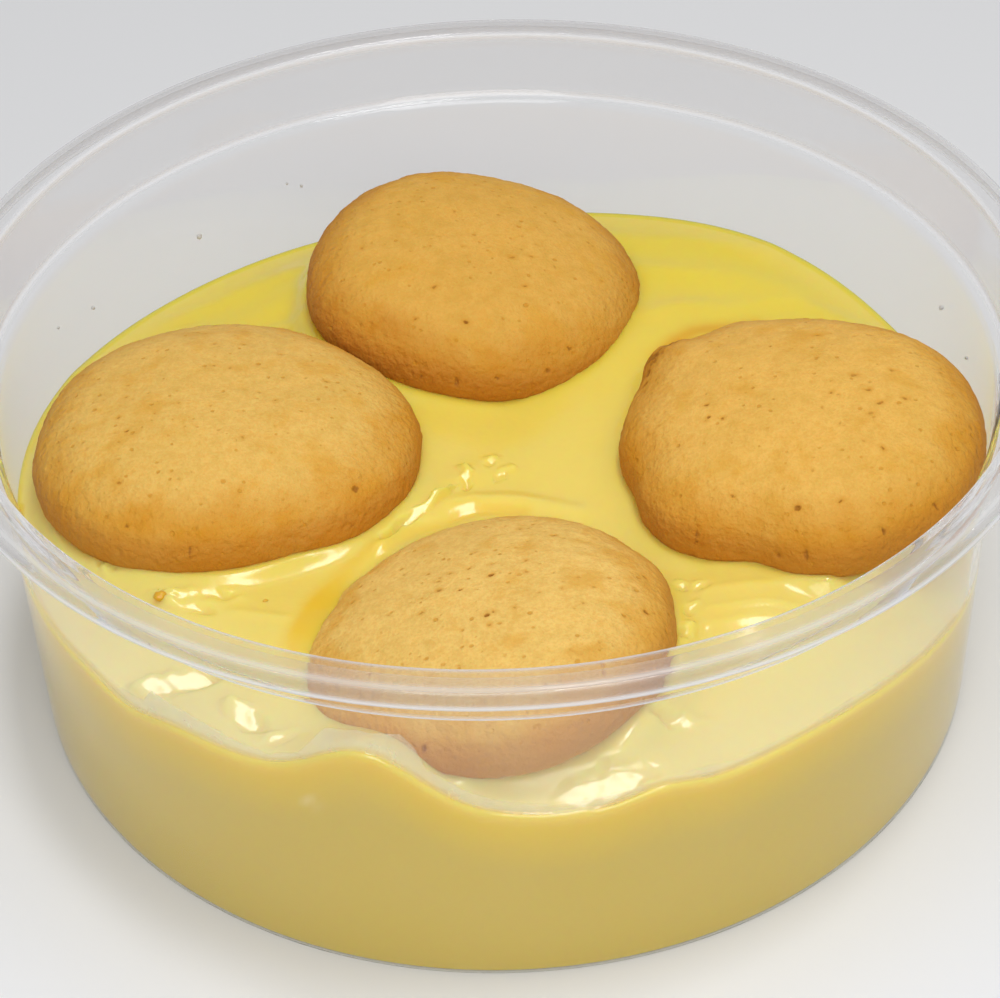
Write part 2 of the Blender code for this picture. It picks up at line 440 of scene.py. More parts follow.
# %% Sizes of the cup
CUP_HEIGHT = 0.0454
RIM_RADIUS = 0.0587
RIM_WIDTH = 0.0030
RIM_SKIRT = 0.0022
RIM_ROUND = 0.0008
WALL = 0.0007
WALL_FOOT_RADIUS = 0.0517
WALL_FLARE = 0.0287
LEDGE_HEIGHT = 0.0374
LEDGE_STEP = 0.0012
LEDGE_RISE_OUTSIDE = 0.0001
LEDGE_RISE_INSIDE = 0.0010
LEDGE_ROUND = 0.0009
LEDGE_ROUND_OUTSIDE = 0.0004
FOOT_CORNER = 0.0009
INSIDE_CORNER = 0.0006
FOOT_OUTER = WALL_FOOT_RADIUS - FOOT_CORNER
FOOT_INNER = FOOT_OUTER - 0.0050
FOOT_RECESS = 0.0006
FOOT_SLOPE = 0.0012
CORNER_ROUND = 0.0003
CUP_STEPS = 288
RIM_STRETCH = 0.00025
print("the cup is", 2 * RIM_RADIUS, "m across and", CUP_HEIGHT, "m high")

# %% Section of the cup


def wall_outside(height):
    """Radius of the outside of the wall at a height."""
    return WALL_FOOT_RADIUS + WALL_FLARE * height


def floor_inside(cover):
    """The inside of the foot, a distance above its outside, from the axis up its corner."""
    points = [(NEAR_AXIS, FOOT_RECESS + cover), (FOOT_INNER, FOOT_RECESS + cover)]
    points.append((FOOT_INNER + FOOT_SLOPE, cover))
    corner = (WALL_FOOT_RADIUS - cover - INSIDE_CORNER, cover + INSIDE_CORNER)
    return points + arc(corner, INSIDE_CORNER, -90, 0, 5)


def rounded(points, steps=5):
    """A profile with its corners cut by short curves; a third number is a corner's own size."""
    smooth = [points[0][:2]]
    for before, corner, after in zip(points, points[1:], points[2:]):
        radius = corner[2] if len(corner) > 2 else CORNER_ROUND
        before, corner, after = Vector(before[:2]), Vector(corner[:2]), Vector(after[:2])
        reach = min(radius, (corner - before).length / 2, (after - corner).length / 2)
        start = corner + (before - corner).normalized() * reach
        end = corner + (after - corner).normalized() * reach
        for share in np.linspace(0, 1, steps + 1):
            smooth.append(start.lerp(corner, share).lerp(corner.lerp(end, share), share)[:])
    return smooth + [points[-1][:2]]


def finer(points, longest, above):
    """The same profile with more points, so that no stretch above a height is longer than this."""
    full = [points[0]]
    for start, end in zip(points, points[1:]):
        high = min(start[1], end[1]) > above
        cuts = max(1, math.ceil(math.dist(start, end) / longest)) if high else 1
        for cut in range(1, cuts + 1):
            full.append(Vector(start).lerp(Vector(end), cut / cuts)[:])
    return full


def cup_section():
    """The cup's section, from the middle of its floor, up the inside, and down the outside."""
    ledge_outer = wall_outside(LEDGE_HEIGHT) + LEDGE_STEP
    seat_outer = RIM_RADIUS - RIM_WIDTH
    skirt_bottom = CUP_HEIGHT - RIM_SKIRT
    lip_middle = CUP_HEIGHT - RIM_ROUND

    inside = floor_inside(WALL)
    inside += [(wall_outside(LEDGE_HEIGHT) - WALL, LEDGE_HEIGHT, LEDGE_ROUND)]
    inside += [(ledge_outer - WALL, LEDGE_HEIGHT + LEDGE_RISE_INSIDE, LEDGE_ROUND)]
    inside += arc((seat_outer - WALL + RIM_ROUND, lip_middle), RIM_ROUND, 180, 90, 6)

    rim = arc((RIM_RADIUS - RIM_ROUND, lip_middle), RIM_ROUND, 90, 0, 6)
    rim += [(RIM_RADIUS, skirt_bottom), (RIM_RADIUS - WALL, skirt_bottom)]
    rim += [(RIM_RADIUS - WALL, CUP_HEIGHT - WALL), (seat_outer, CUP_HEIGHT - WALL)]

    outside = [(seat_outer, skirt_bottom)]
    outside += [(ledge_outer, LEDGE_HEIGHT + LEDGE_RISE_OUTSIDE, LEDGE_ROUND_OUTSIDE)]
    outside += [(wall_outside(LEDGE_HEIGHT), LEDGE_HEIGHT, LEDGE_ROUND)]
    outside += arc((FOOT_OUTER, FOOT_CORNER), FOOT_CORNER, 0, -90, 8)
    outside += [(FOOT_INNER, 0.0), (FOOT_INNER - FOOT_RECESS, FOOT_RECESS)]
    outside += [(NEAR_AXIS, FOOT_RECESS)]
    whole = rounded(inside + rim + outside)
    return np.array(finer(whole, RIM_STRETCH, LEDGE_HEIGHT - 0.0005))


section = cup_section()
print("the section has", len(section), "points")


# %% [markdown]
# ## Clear plastic
#
# Cheap clear tubs aren't as clear as glass.  The plastic is faintly milky, and it turns whitish
# along the edges where the sheet was bent or cut: the inner lip, the outer lip, the lower edge of
# the skirt and the ledge.  So the finish is a clear shader with a share of a white one in it, and
# each point of the mesh carries that share.  The white edges are partly painted highlight too: they
# stand for the bright lines that light draws along the rounded rim.  Above the ledge the plastic is
# also a little greyer, most of all where the rim rolls over, because there it is seen through
# lengthwise.
#
# A real wall is so thin that it hardly bends what is seen through it.  Bending by a solid glass
# would draw dark lines along every corner, so the clear shader barely bends light, and its gloss
# comes from a coat with the strength of plastic.  A clear solid also stops the light of lamps in
# Blender, and the contents would go dark.  A Light Path node hands rays to lamps, and rays that
# gather soft light, a plain see-through shader instead.

# %% Clear plastic
PLASTIC_TINT = (0.985, 0.985, 0.985)
RIM_TINT = (0.930, 0.922, 0.920)
EDGE_TINT = (0.730, 0.715, 0.715)
PLASTIC_BEND = 1.02
PLASTIC_GLOSS = 1.49
SHADOW_TINT = (0.940, 0.940, 0.940)
CLOUD_SIZE = 0.012
CLOUD_AMOUNT = 0.03
MILK_COLOUR = (0.850, 0.860, 0.880)
MILK_WALL = 0.040
MILK_RIM = 0.046
RIM_STARTS = LEDGE_HEIGHT + 0.0020
TINT_FADE = 0.0015
# A whitish edge is (radius, height, share, spread): the sheet's whitening and a painted highlight.
WHITE_EDGES_AND_HIGHLIGHTS = [
    (0.0552, 0.0449, 0.75, 0.00038),
    (0.0581, 0.0453, 0.34, 0.00040),
    (0.0583, 0.0432, 0.80, 0.00026),
    (0.0533, 0.0382, 0.12, 0.00050),
    (0.0540, 0.0375, 0.90, 0.00042),
]

plastic = new_finish("clear_plastic")
tint = plastic.blend(plastic.attribute("rim"), PLASTIC_TINT, RIM_TINT)
glass = plastic.shade(
    Base_Color=plastic.blend(plastic.attribute("edge"), tint, EDGE_TINT),
    Roughness=0.02,
    IOR=PLASTIC_BEND,
    Transmission_Weight=1.0,
    Coat_Weight=0.65,
    Coat_Roughness=0.05,
    Coat_IOR=PLASTIC_GLOSS,
)
milk = plastic.add("ShaderNodeBsdfDiffuse", inputs={"Color": (*MILK_COLOUR, 1.0)})
cloud = plastic.noise(CLOUD_SIZE, seed=3.0)
milky = plastic.attribute("milk") + (cloud - 0.5) * CLOUD_AMOUNT
clear = plastic.layer(milky, glass, milk)
see_through = plastic.add("ShaderNodeBsdfTransparent", inputs={0: (*SHADOW_TINT, 1.0)})
for ray in ("Is Shadow Ray", "Is Diffuse Ray"):
    clear = plastic.layer(plastic.add("ShaderNodeLightPath", output=ray), clear, see_through)
plastic.show(clear)

# %% Cup
radii, heights = section.T
milk_shares = MILK_WALL + (MILK_RIM - MILK_WALL) * (heights > RIM_STARTS)
# The whitish edges: partly the sheet's own whitening, partly painted highlight.
for radius, height, amount, spread in WHITE_EDGES_AND_HIGHLIGHTS:
    away = np.hypot(radii - radius, heights - height)
    milk_shares = np.maximum(milk_shares, MILK_WALL + amount * bell(away, spread))
shares = {
    "milk": milk_shares,
    "rim": np.clip((heights - LEDGE_HEIGHT) / TINT_FADE, 0, 1),
    "edge": bell(np.hypot(radii - RIM_RADIUS, heights - CUP_HEIGHT + RIM_ROUND), RIM_ROUND),
}
values = {name: np.repeat(share[:, None], CUP_STEPS, axis=1) for name, share in shares.items()}
cup = make_skin("clear_cup", spin(section, CUP_STEPS), plastic, values)
settle(cup, "clear_plastic", "cup")

# %% [markdown]
# ## The wafers
#
# Each wafer is a drop of batter that spread as it baked: a low dome with a thin rounded edge, a
# wavy outline, and a skin with pits where steam came out.  The solid gives the section, the
# outline, the lean and the place.  Here the dome gets real bumps and pits in its mesh, and its
# points carry three numbers for the finish: how far out towards the brown edge they lie, how deep
# in a pit, and how near the toasted stain round one.  One wafer has a dark brown corner, made of
# rough brown patches, not round like a pit.

# %% Wafer sizes
WAFER_EDGE_DEPTH = 0.0028
WAFER_EDGE_INSET = 0.0024
WAFER_CROWN = 0.0077
WAFER_FULLNESS = 0.8
WAFER_STEPS = 440
WAFER_RINGS = 160

# %% The four wafers
# A lobe is (order, amount, bearing) of the outline, which the solid has too.  A dent is (bearing,
# amount, spread) of it, and a shaded halo is (bearing, spread, strength) of painted shade: a deeper
# yellow painted on the pudding round the wafer where it lies in shade.  A pit is (x, y, size, depth)
# and a dark patch is (x, y, size), in millimetres from the middle of the wafer, and a crack is a
# path of such places.
WAFERS = {
    "wafer_back": {
        "place": (-0.0021, 0.0300, 0.0262),
        "radius": 0.0196,
        "tilt": (2.0, 8.6),
        "lobes": [(3, 0.0056, -8), (4, 0.0114, 27)],
        "dents": [(-154, 0.016, 16), (30, -0.012, 16)],
        "shaded_halos": [(175, 45, 0.9), (0, 30, 0.5)],
        "pits": [
            (-13.6, -2.3, 0.5, 0.5), (-9.3, -6.5, 0.4, 0.5), (-5.4, -9.5, 0.5, 0.6), (-7.5, -13.4, 0.4, 0.6),
            (-1.8, -14.1, 0.5, 1.0), (-2.2, -2.7, 0.4, 0.4), (3.3, -3.6, 0.5, 0.5), (5.7, -3.2, 0.4, 0.5),
            (4.8, -8.2, 0.5, 0.6), (10.1, -14.7, 0.4, 0.7), (7.9, -17.3, 0.5, 0.7), (-6.2, -18.4, 0.4, 0.8),
            (-2.3, -19.2, 0.5, 0.8), (2.1, -18.9, 0.4, 0.8),
        ],
        "centre": (0.730, 0.405, 0.066),
        "edge": (0.530, 0.195, 0.004),
    },
    "wafer_left": {
        "place": (-0.0294, 0.0005, 0.0270),
        "radius": 0.0210,
        "tilt": (-3.9, 1.5),
        "lobes": [(3, 0.0270, -7), (4, 0.0062, -38)],
        "dents": [(-64, -0.034, 12), (-9, -0.018, 14), (43, -0.012, 10)],
        "shaded_halos": [(-160, 25, 1.0), (-10, 35, 0.5)],
        "pits": [
            (-10.1, -0.2, 0.4, 0.5), (-10.5, -3.7, 0.4, 0.6), (-9.5, -6.1, 0.4, 1.0), (-6.8, -4.3, 0.4, 0.5),
            (-1.1, 4.9, 0.5, 0.5), (1.9, 9.8, 0.4, 0.5), (5.9, 7.6, 0.4, 0.5), (11.2, 2.6, 0.4, 0.6),
            (5.8, -2.0, 0.4, 0.5), (2.8, -8.5, 0.5, 0.5), (-9.9, -13.6, 0.5, 0.6), (-8.9, -18.1, 0.4, 0.7),
            (14.3, -12.7, 0.6, 0.8), (12.9, -16.1, 0.4, 0.7), (14.1, -15.5, 0.5, 1.0), (9.1, -18.9, 0.4, 0.8),
            (7.8, -19.5, 0.5, 0.8), (6.0, -20.1, 0.4, 0.8), (-2.2, -20.5, 0.4, 0.8),
        ],
        "centre": (0.790, 0.490, 0.108),
        "edge": (0.640, 0.260, 0.003),
    },
    "wafer_right": {
        "place": (0.0320, -0.0051, 0.0291),
        "radius": 0.0195,
        "tilt": (0.3, -6.5),
        "lobes": [(2, 0.0209, -47), (4, 0.0169, 30)],
        "dents": [
            (-167, -0.040, 10), (-140, 0.014, 9), (-112, -0.046, 10), (-84, 0.036, 12), (131, 0.125, 9),
            (108, 0.030, 12),
        ],
        "dark_patches": [
            (-14.2, 14.2, 1.5), (-15.2, 12.0, 0.9), (-12.4, 15.6, 1.1), (-10.0, 16.8, 0.7),
            (-15.6, 9.6, 0.5),
        ],
        "shaded_halos": [(112, 30, 1.0), (170, 30, 0.5)],
        "pits": [
            (-9.4, 0.0, 0.4, 0.7), (-9.2, -2.2, 0.4, 0.8), (-7.9, -2.7, 0.4, 0.7), (3.5, 10.1, 0.5, 0.6),
            (7.4, -1.2, 0.5, 0.6), (7.2, -5.0, 0.7, 0.5), (8.4, -3.3, 0.5, 0.6), (11.0, -2.6, 0.5, 0.6),
            (3.6, -1.2, 0.4, 0.6), (10.3, 2.3, 0.5, 0.5), (6.3, 1.3, 0.6, 0.5), (7.7, -9.9, 0.4, 0.7),
            (-1.7, -15.8, 0.6, 0.8), (2.9, -15.8, 0.4, 0.7), (-7.9, -12.8, 0.4, 0.7), (-9.9, -16.0, 0.4, 0.8),
            (-12.1, -14.5, 0.4, 0.8), (-1.5, -19.1, 0.5, 0.8), (6.6, -18.1, 0.4, 0.8),
            (12.2, -15.1, 0.4, 0.8), (-12.4, 16.8, 1.1, 0.7), (-13.6, 15.0, 0.8, 0.6),
            (-10.2, 17.6, 0.7, 0.5),
        ],
        "cracks": [[(-9.4, -17.0), (-7.6, -18.0), (-5.9, -18.3), (-4.1, -18.2)]],
        "centre": (0.800, 0.465, 0.088),
        "edge": (0.620, 0.245, 0.004),
    },
    "wafer_front": {
        "place": (-0.0016, -0.0307, 0.0253),
        "radius": 0.0194,
        "tilt": (-8.2, -10.2),
        "lobes": [(2, 0.0124, -40), (3, 0.0292, -57), (4, 0.0228, 8)],
        "dents": [(-48, -0.020, 12), (2, -0.022, 12), (33, -0.016, 10), (168, -0.030, 12)],
        "shaded_halos": [(168, 32, 1.0), (-8, 18, 0.8)],
        "pits": [
            (8.0, 8.3, 0.4, 1.0), (1.7, 1.0, 0.5, 1.0), (-0.5, 2.8, 0.4, 0.6), (1.8, 3.0, 0.4, 0.5),
            (5.2, 2.7, 0.5, 0.5), (5.2, 0.9, 0.5, 0.5), (-3.6, 1.5, 0.5, 0.5), (-3.3, -0.1, 0.4, 0.6),
            (-2.4, 2.5, 0.4, 0.5), (-1.2, -0.9, 0.4, 1.0), (-5.2, -3.4, 0.5, 0.5), (1.4, -5.8, 0.5, 0.9),
            (2.2, -5.4, 0.4, 0.6), (4.1, -5.2, 0.4, 0.5), (1.6, -7.2, 0.4, 0.5), (-12.6, 2.6, 0.4, 0.6),
            (16.5, 1.8, 0.4, 0.7), (16.5, -4.4, 0.4, 0.7), (8.7, -2.6, 0.4, 0.4), (0.0, 5.8, 0.4, 0.4),
            (4.5, 10.5, 0.4, 0.5), (-5.7, -17.5, 0.5, 0.8),
        ],
        "centre": (0.860, 0.560, 0.142),
        "edge": (0.720, 0.350, 0.040),
    },
}
for name, spec in WAFERS.items():
    print(name, "is", 2 * spec["radius"], "m across, with", len(spec["pits"]), "pits")

# %% Wafer section and outline


def wafer_section(radius):
    """A wafer's section, from its flat base, round its edge, to its crown."""
    turn = np.linspace(math.pi / 2, 0, 12)
    inset = WAFER_EDGE_INSET * (1 - np.cos(turn))
    edge = np.stack([radius - inset, -WAFER_EDGE_DEPTH * np.sin(turn)], axis=1)
    turn = np.linspace(0, math.pi / 2, 200)[1:-1]
    crown = np.stack([radius * np.cos(turn) ** WAFER_FULLNESS, WAFER_CROWN * np.sin(turn)], axis=1)
    upper = even_steps(np.vstack([edge, crown, [(NEAR_AXIS / 2, WAFER_CROWN)]]), WAFER_RINGS)
    return np.vstack([[(NEAR_AXIS, -WAFER_EDGE_DEPTH), (radius * 0.5, -WAFER_EDGE_DEPTH)], upper])


def outline_reach(bearing, spec):
    """How far a wafer's uneven outline reaches at a bearing, as a share of its radius."""
    reach = 1.0
    for order, amount, angle in spec["lobes"]:
        reach = reach + amount * np.cos(order * (bearing - math.radians(angle)))
    for angle, amount, spread in spec["dents"]:
        reach = reach + amount * bell(turn_from(angle, np.degrees(bearing)), spread)
    return reach


def lean_of(spec):
    """The turn that leans a wafer, as a three by three array."""
    angles = [math.radians(angle) for angle in spec["tilt"]]
    return np.array(Euler(angles + [0.0], "XYZ").to_matrix())


# %% Wafer skins


def outward(rings):
    """The direction straight out of the skin at each point of its rings."""
    along = np.roll(rings, -1, axis=1) - np.roll(rings, 1, axis=1)
    up = np.gradient(rings, axis=0)
    normal = np.cross(along, up)
    return normal / np.maximum(np.linalg.norm(normal, axis=2, keepdims=True), 1e-12)


def pores(points, size, share, seed):
    """Depth from 0 to 1 of small pits strewn about in groups, at most one to a cell of this size."""
    depth = np.zeros(points.shape[:-1])
    flat = depth.reshape(-1)
    grouped = relief(points, size * 4, 1, seed + 2).reshape(-1)
    shift = Vector((seed, seed, seed))
    for index, point in enumerate(points.reshape(-1, 3)):
        distances, centres = noise.voronoi(Vector(point) / size + shift)
        chance = noise.cell(centres[0] * 7.3)
        if chance < share * (1 + 1.6 * grouped[index]):
            reach = 0.16 + 0.16 * noise.cell(centres[0] * 3.1)
            flat[index] = max(0.0, 1 - (distances[0] / reach) ** 2)
    return depth


def wafer_marks(rings, crust, spec, seed):
    """The depth of the pits and the strength of the stains at each point of a wafer."""
    warp = np.stack([relief(rings, 0.0010, 2, seed + 20 + axis) for axis in range(3)], axis=-1)
    warped = rings + 0.00028 * warp
    x, y = warped[..., 0] * 1000, warped[..., 1] * 1000
    on_top = np.clip(rings[..., 2] / 0.0008, 0, 1)
    pit = 0.50 * pores(warped, 0.0014, 0.22, seed)
    stain = 0.6 * pit
    fine = pores(warped, 0.0009, 0.35, seed + 3) * crust
    pit = np.maximum(pit, 0.55 * fine)
    for centre_x, centre_y, size, depth in spec["pits"]:
        away = np.hypot(x - centre_x, (y - centre_y) * 1.2)
        pit = np.maximum(pit, depth * np.clip(1.5 - away / (size * 0.60), 0, 1))
        stain = np.maximum(stain, (0.50 + 0.4 * depth) * bell(away, size * 1.05))
    for path in spec.get("cracks", []):
        away = distance_to_path(x, y, path)
        pit = np.maximum(pit, 0.8 * bell(away, 0.25))
        stain = np.maximum(stain, 0.8 * bell(away, 0.6))
    pit, stain = pit * on_top, stain * on_top
    # The dark corner: rough brown patches, with a stain round them.
    dark_patches = spec.get("dark_patches", [])
    rough = 0.75 + 0.6 * relief(rings, 0.0009, 2, seed + 6) if dark_patches else 0
    for centre_x, centre_y, size in dark_patches:
        away = np.hypot(x - centre_x, y - centre_y)
        pit = np.maximum(pit, np.clip(bell(away, size) * rough, 0, 0.9))
        stain = np.maximum(stain, bell(away, size * 1.5))
    return pit, stain


def make_wafer(name, spec, seed):
    """One wafer, leaned and in its place."""
    rings = spin(wafer_section(spec["radius"]), WAFER_STEPS)
    bearing = np.arctan2(rings[..., 1], rings[..., 0])
    rings[..., :2] *= outline_reach(bearing, spec)[..., None]
    spread = np.hypot(rings[..., 0], rings[..., 1]) / (spec["radius"] * outline_reach(bearing, spec))
    crust = np.clip((spread - 0.60) / 0.30, 0, 1)
    pit, stain = wafer_marks(rings, crust, spec, seed)
    # Broad swells, then lumps, then a grain that is coarser on the crust, and last the pits.
    rise = 0.00022 * relief(rings, 0.0090, seed=seed) + 0.00010 * relief(rings, 0.0032, 2, seed + 5)
    rise += (0.00002 + 0.00007 * crust) * relief(rings, 0.0011, 2, seed + 9)
    rise -= 0.00036 * pit**2
    rings = rings + outward(rings) * rise[..., None]
    placed = rings @ lean_of(spec).T + np.array(spec["place"])
    values = {"spread": spread, "pit": pit, "stain": stain}
    return make_skin(name + "_baked", placed, wafer_finish(name, spec, seed), values)


# %% [markdown]
# ## Baked biscuit
#
# The top of a wafer is golden and dry, with a fine pale grain like sand, and it browns towards
# the edge and under it.  Yellow biscuit easily comes out too red, so each colour was set against
# the photograph.  The mesh says where the edge and the pits are, and noise breaks both up.

# %% Biscuit finish
AMBER_COLOUR = (0.740, 0.360, 0.030)
STAIN_COLOUR = (0.640, 0.270, 0.012)
PIT_COLOUR = (0.300, 0.110, 0.008)
UNDER_COLOUR = (0.440, 0.150, 0.022)
PATCH_SIZE = 0.0075
AMBER_SIZE = 0.0042
MOTTLE_SIZE = 0.0017
GRAIN_SIZE = 0.00030
PEEL_SIZE = 0.00080
DOT_SIZE = 0.0013
DOT_SHARE = 0.55
BISCUIT_BUMP = 0.00018


def wafer_finish(name, spec, seed):
    """The finish of one wafer, in its own colours."""
    biscuit = new_finish(name)
    spread = biscuit.attribute("spread")
    patches = biscuit.noise(PATCH_SIZE, seed=seed)
    amber = biscuit.noise(AMBER_SIZE, detail=3.0, seed=seed + 4)
    mottle = biscuit.noise(MOTTLE_SIZE, detail=3.0, seed=seed + 1)
    grain = biscuit.noise(GRAIN_SIZE, seed=seed + 2)

    # Pale and amber patches over the middle, and toast that deepens towards the edge.
    pale = tuple(min(1.0, value * 1.08 + 0.015) for value in spec["centre"])
    pale_share = biscuit.between(patches * 0.4 + mottle * 0.6, 0.38, 0.60)
    base = biscuit.blend(pale_share, spec["centre"], pale)
    warm = biscuit.between(amber + (spread - 0.5) * 0.16, 0.50, 0.72)
    base = biscuit.blend(0.55 * warm, base, AMBER_COLOUR)
    base = biscuit.blend(0.32 * biscuit.between(mottle, 0.52, 0.74), base, AMBER_COLOUR)
    toast = biscuit.between(spread + (patches - 0.5) * 0.40 + (mottle - 0.5) * 0.20, 0.70, 1.08)
    base = biscuit.blend(toast * 0.92, base, spec["edge"])

    # Stains, pits and the brown underside, from the numbers that the mesh carries.
    base = biscuit.blend(biscuit.attribute("stain") * 0.75, base, STAIN_COLOUR)
    deep = biscuit.between(biscuit.attribute("pit"), 0.26, 0.75)
    base = biscuit.blend(deep * 0.90, base, PIT_COLOUR)
    base = biscuit.blend(0.45 * biscuit.between(spread, 0.93, 1.0), base, UNDER_COLOUR)

    # Fine dots and speckle, and the small relief that goes with them.
    peel = biscuit.noise(PEEL_SIZE, seed=seed + 3)
    dots = biscuit.dots(DOT_SIZE, DOT_SHARE, peel)
    base = biscuit.blend(0.65 * dots, base, STAIN_COLOUR)
    crust = biscuit.between(spread, 0.55, 0.90)
    speckle = biscuit.between(grain * 0.6 + peel * 0.4, 0.38, 0.62)
    base = biscuit.blend(0.26 * (1 - speckle), base, STAIN_COLOUR)
    height = grain * 0.5 + mottle * 0.3 + peel * (0.4 + 1.6 * crust) - 0.35 * dots
    biscuit.shade(
        Base_Color=base,
        Roughness=0.64 + 0.14 * speckle,
        Normal=biscuit.bump(height, BISCUIT_BUMP),
        Subsurface_Weight=0.10,
        Subsurface_Scale=0.0012,
        Specular_IOR_Level=0.25,
    )
    return biscuit


for number, (name, spec) in enumerate(WAFERS.items()):
    settle(make_wafer(name, spec, 11 + 7 * number), "wafer", name)

# %% [markdown]
# ## The pudding
#
# Thick pudding keeps the marks of the spoon.  Its top is a height for each point of a round grid:
# a level in the middle, a line along the wall that rises and falls, low mounds beside the wafers,
# and crests that the spoon drew.  Noise bends the crests, so that none is a straight line.  Small
# leaning flats catch the lamp: each is turned so that it mirrors the lamp towards the photograph's
# camera.  Where it meets a wafer the pudding climbs its edge, as a wet thing does, and at the wall
# it reaches a little way into the plastic, because no air is left there.

# %% Pudding sizes
PUDDING_MIDDLE = 0.0251
PUDDING_AT_WALL = 0.0215
WALL_REACH = 0.0068
INTO_WALL = 0.0004
PUDDING_STEPS = 560
PUDDING_RINGS = 138
PUDDING_SIDE_RINGS = 26
CLIMB_REACH = 0.0015
CLIMB_MOST = 0.0019
CLIMB_BELOW_EDGE = 0.0011
BEND = 0.6
BROAD_BEND = 0.0060
SMALL_BEND = 0.0016

# %% Swells and mounds
# A swell is (bearing from the front, rise, spread in degrees) of the line along the wall.
WALL_SWELLS = [
    (-15, 0.0060, 8),
    (-35, 0.0041, 35),
    (-46, -0.0012, 5),
    (16, 0.0015, 5),
    (35, 0.0023, 18),
    (78, -0.0040, 18),
    (141, 0.0026, 24),
    (-97, 0.0025, 29),
]
# A mound is (x, y, rise, spread) in metres; all but the last two are in the solid too.
MOUNDS = [
    (-0.019, -0.030, 0.0023, 0.008),
    (-0.012, -0.017, 0.0011, 0.005),
    (-0.031, -0.023, 0.0012, 0.008),
    (0.026, -0.026, 0.0023, 0.009),
    (0.021, 0.018, 0.0012, 0.009),
    (0.001, 0.008, -0.0012, 0.007),
    (-0.030, 0.030, -0.0020, 0.011),
    (0.014, 0.040, -0.0008, 0.009),
    (0.010, -0.042, 0.0008, 0.005),
    (-0.036, -0.028, 0.0006, 0.004),
]
print(len(WALL_SWELLS), "swells and", len(MOUNDS), "mounds")

# %% Crests, grooves and flats
# A crest is (its path, rise, half width) in millimetres, and a groove is one with a fall.
CRESTS = [
    ([(-14, -10), (-3, -3)], 0.35, 2.2),
    ([(12, 36), (34, 30)], 0.35, 2.8),
    ([(-46, 18), (-22, 34)], 0.35, 2.8),
    ([(-12.1, -15.3), (-9.6, -11.3), (-6.5, -8.5), (-2.6, -7.8), (2.2, -8.4), (8.0, -10.6)], 0.65, 1.6),
    ([(22.0, -21.2), (28.0, -21.9), (33.0, -22.6)], 0.14, 0.7),
    ([(20.5, -24.8), (27.0, -24.8), (34.1, -25.3)], 0.20, 0.7),
    ([(20.0, -27.6), (26.0, -27.6), (33.8, -28.3)], 0.20, 0.6),
    ([(19.5, -29.8), (24.0, -29.6), (29.6, -29.8)], 0.18, 0.6),
    ([(-34.0, -22.6), (-27.3, -22.8)], 0.25, 0.9),
    ([(-27.1, -25.7), (-22.0, -27.0)], 0.20, 0.8),
    ([(14.0, 43.0), (22.0, 41.5), (32.0, 38.4)], 0.22, 2.2),
    ([(19.0, 25.0), (26.3, 25.5), (35.0, 27.0), (44.3, 22.4)], 0.30, 2.0),
    ([(-33.8, 26.2), (-28.0, 25.9), (-22.2, 26.6)], 0.25, 1.6),
    ([(-38.0, 30.0), (-30.0, 36.0), (-24.0, 39.0)], 0.20, 1.8),
]
GROOVES = [
    ([(-13.5, -19.0), (-11.0, -15.8), (-8.4, -12.7), (-4.2, -10.4), (-1.5, -9.8), (2.2, -10.0)], -0.25, 0.8),
    ([(-26.0, 15.5), (-18.0, 20.0), (-16.0, 24.0)], -0.25, 1.2),
]
# A flat is (x, y, half length, half width, bearing of its length) in millimetres and degrees.
FLATS = [
    (9.0, -49.2, 4.8, 1.5, 17),
    (-32.6, -33.8, 4.2, 1.5, 2),
    (-25.5, -39.6, 2.7, 1.1, -44),
    (-22.0, -43.1, 1.7, 0.8, 28),
    (16.8, -41.8, 2.3, 0.7, 9),
    (-0.9, -0.8, 0.7, 0.6, 75),
    (0.6, -3.1, 1.3, 0.55, 54),
    (-3.6, -3.6, 1.5, 0.5, 95),
    (-8.7, -10.2, 4.4, 0.45, 50),
    (18.2, -23.5, 0.65, 0.6, 0),
    (19.7, -24.0, 0.9, 0.6, -20),
    (19.0, -27.5, 1.3, 0.55, 55),
    (18.2, -31.2, 1.1, 0.55, 50),
    (-31.2, -22.6, 3.6, 0.5, -2),
    (-32.0, -24.2, 2.4, 0.5, -22),
    (-41.9, -17.4, 0.7, 0.5, -30),
    (-40.4, -18.4, 0.7, 0.5, -30),
]
# The slope that mirrors the lamp: in the middle of the cup, and its change for each metre.
FLAT_SLOPE_X = (-0.09, 3.3)
FLAT_SLOPE_Y = (0.466, 2.2)
FLAT_EDGE = 0.30
FLAT_RIPPLE = 0.000095
FLAT_RIPPLE_SIZE = 0.0014
print(len(CRESTS), "crests,", len(GROOVES), "grooves and", len(FLATS), "flats")

# %% Levels of the pudding


def level_at_wall(bearing):
    """Height of the pudding where it meets the wall, at a bearing in degrees from the front."""
    level = PUDDING_AT_WALL
    for middle, rise, spread in WALL_SWELLS:
        level = level + rise * bell(turn_from(middle, bearing), spread)
    return level


def wafer_away(x, y, spec):
    """How far a point is outside a wafer's widest line, seen from above."""
    offset_x = x - spec["place"][0]
    offset_y = y - spec["place"][1]
    bearing = np.arctan2(offset_y, offset_x)
    return np.hypot(offset_x, offset_y) - spec["radius"] * outline_reach(bearing, spec)


def wafer_edge_level(x, y, spec):
    """Height at a point of the leaning plane that a wafer's widest line lies in."""
    normal = lean_of(spec)[:, 2]
    offset_x = x - spec["place"][0]
    offset_y = y - spec["place"][1]
    return spec["place"][2] - (normal[0] * offset_x + normal[1] * offset_y) / normal[2]


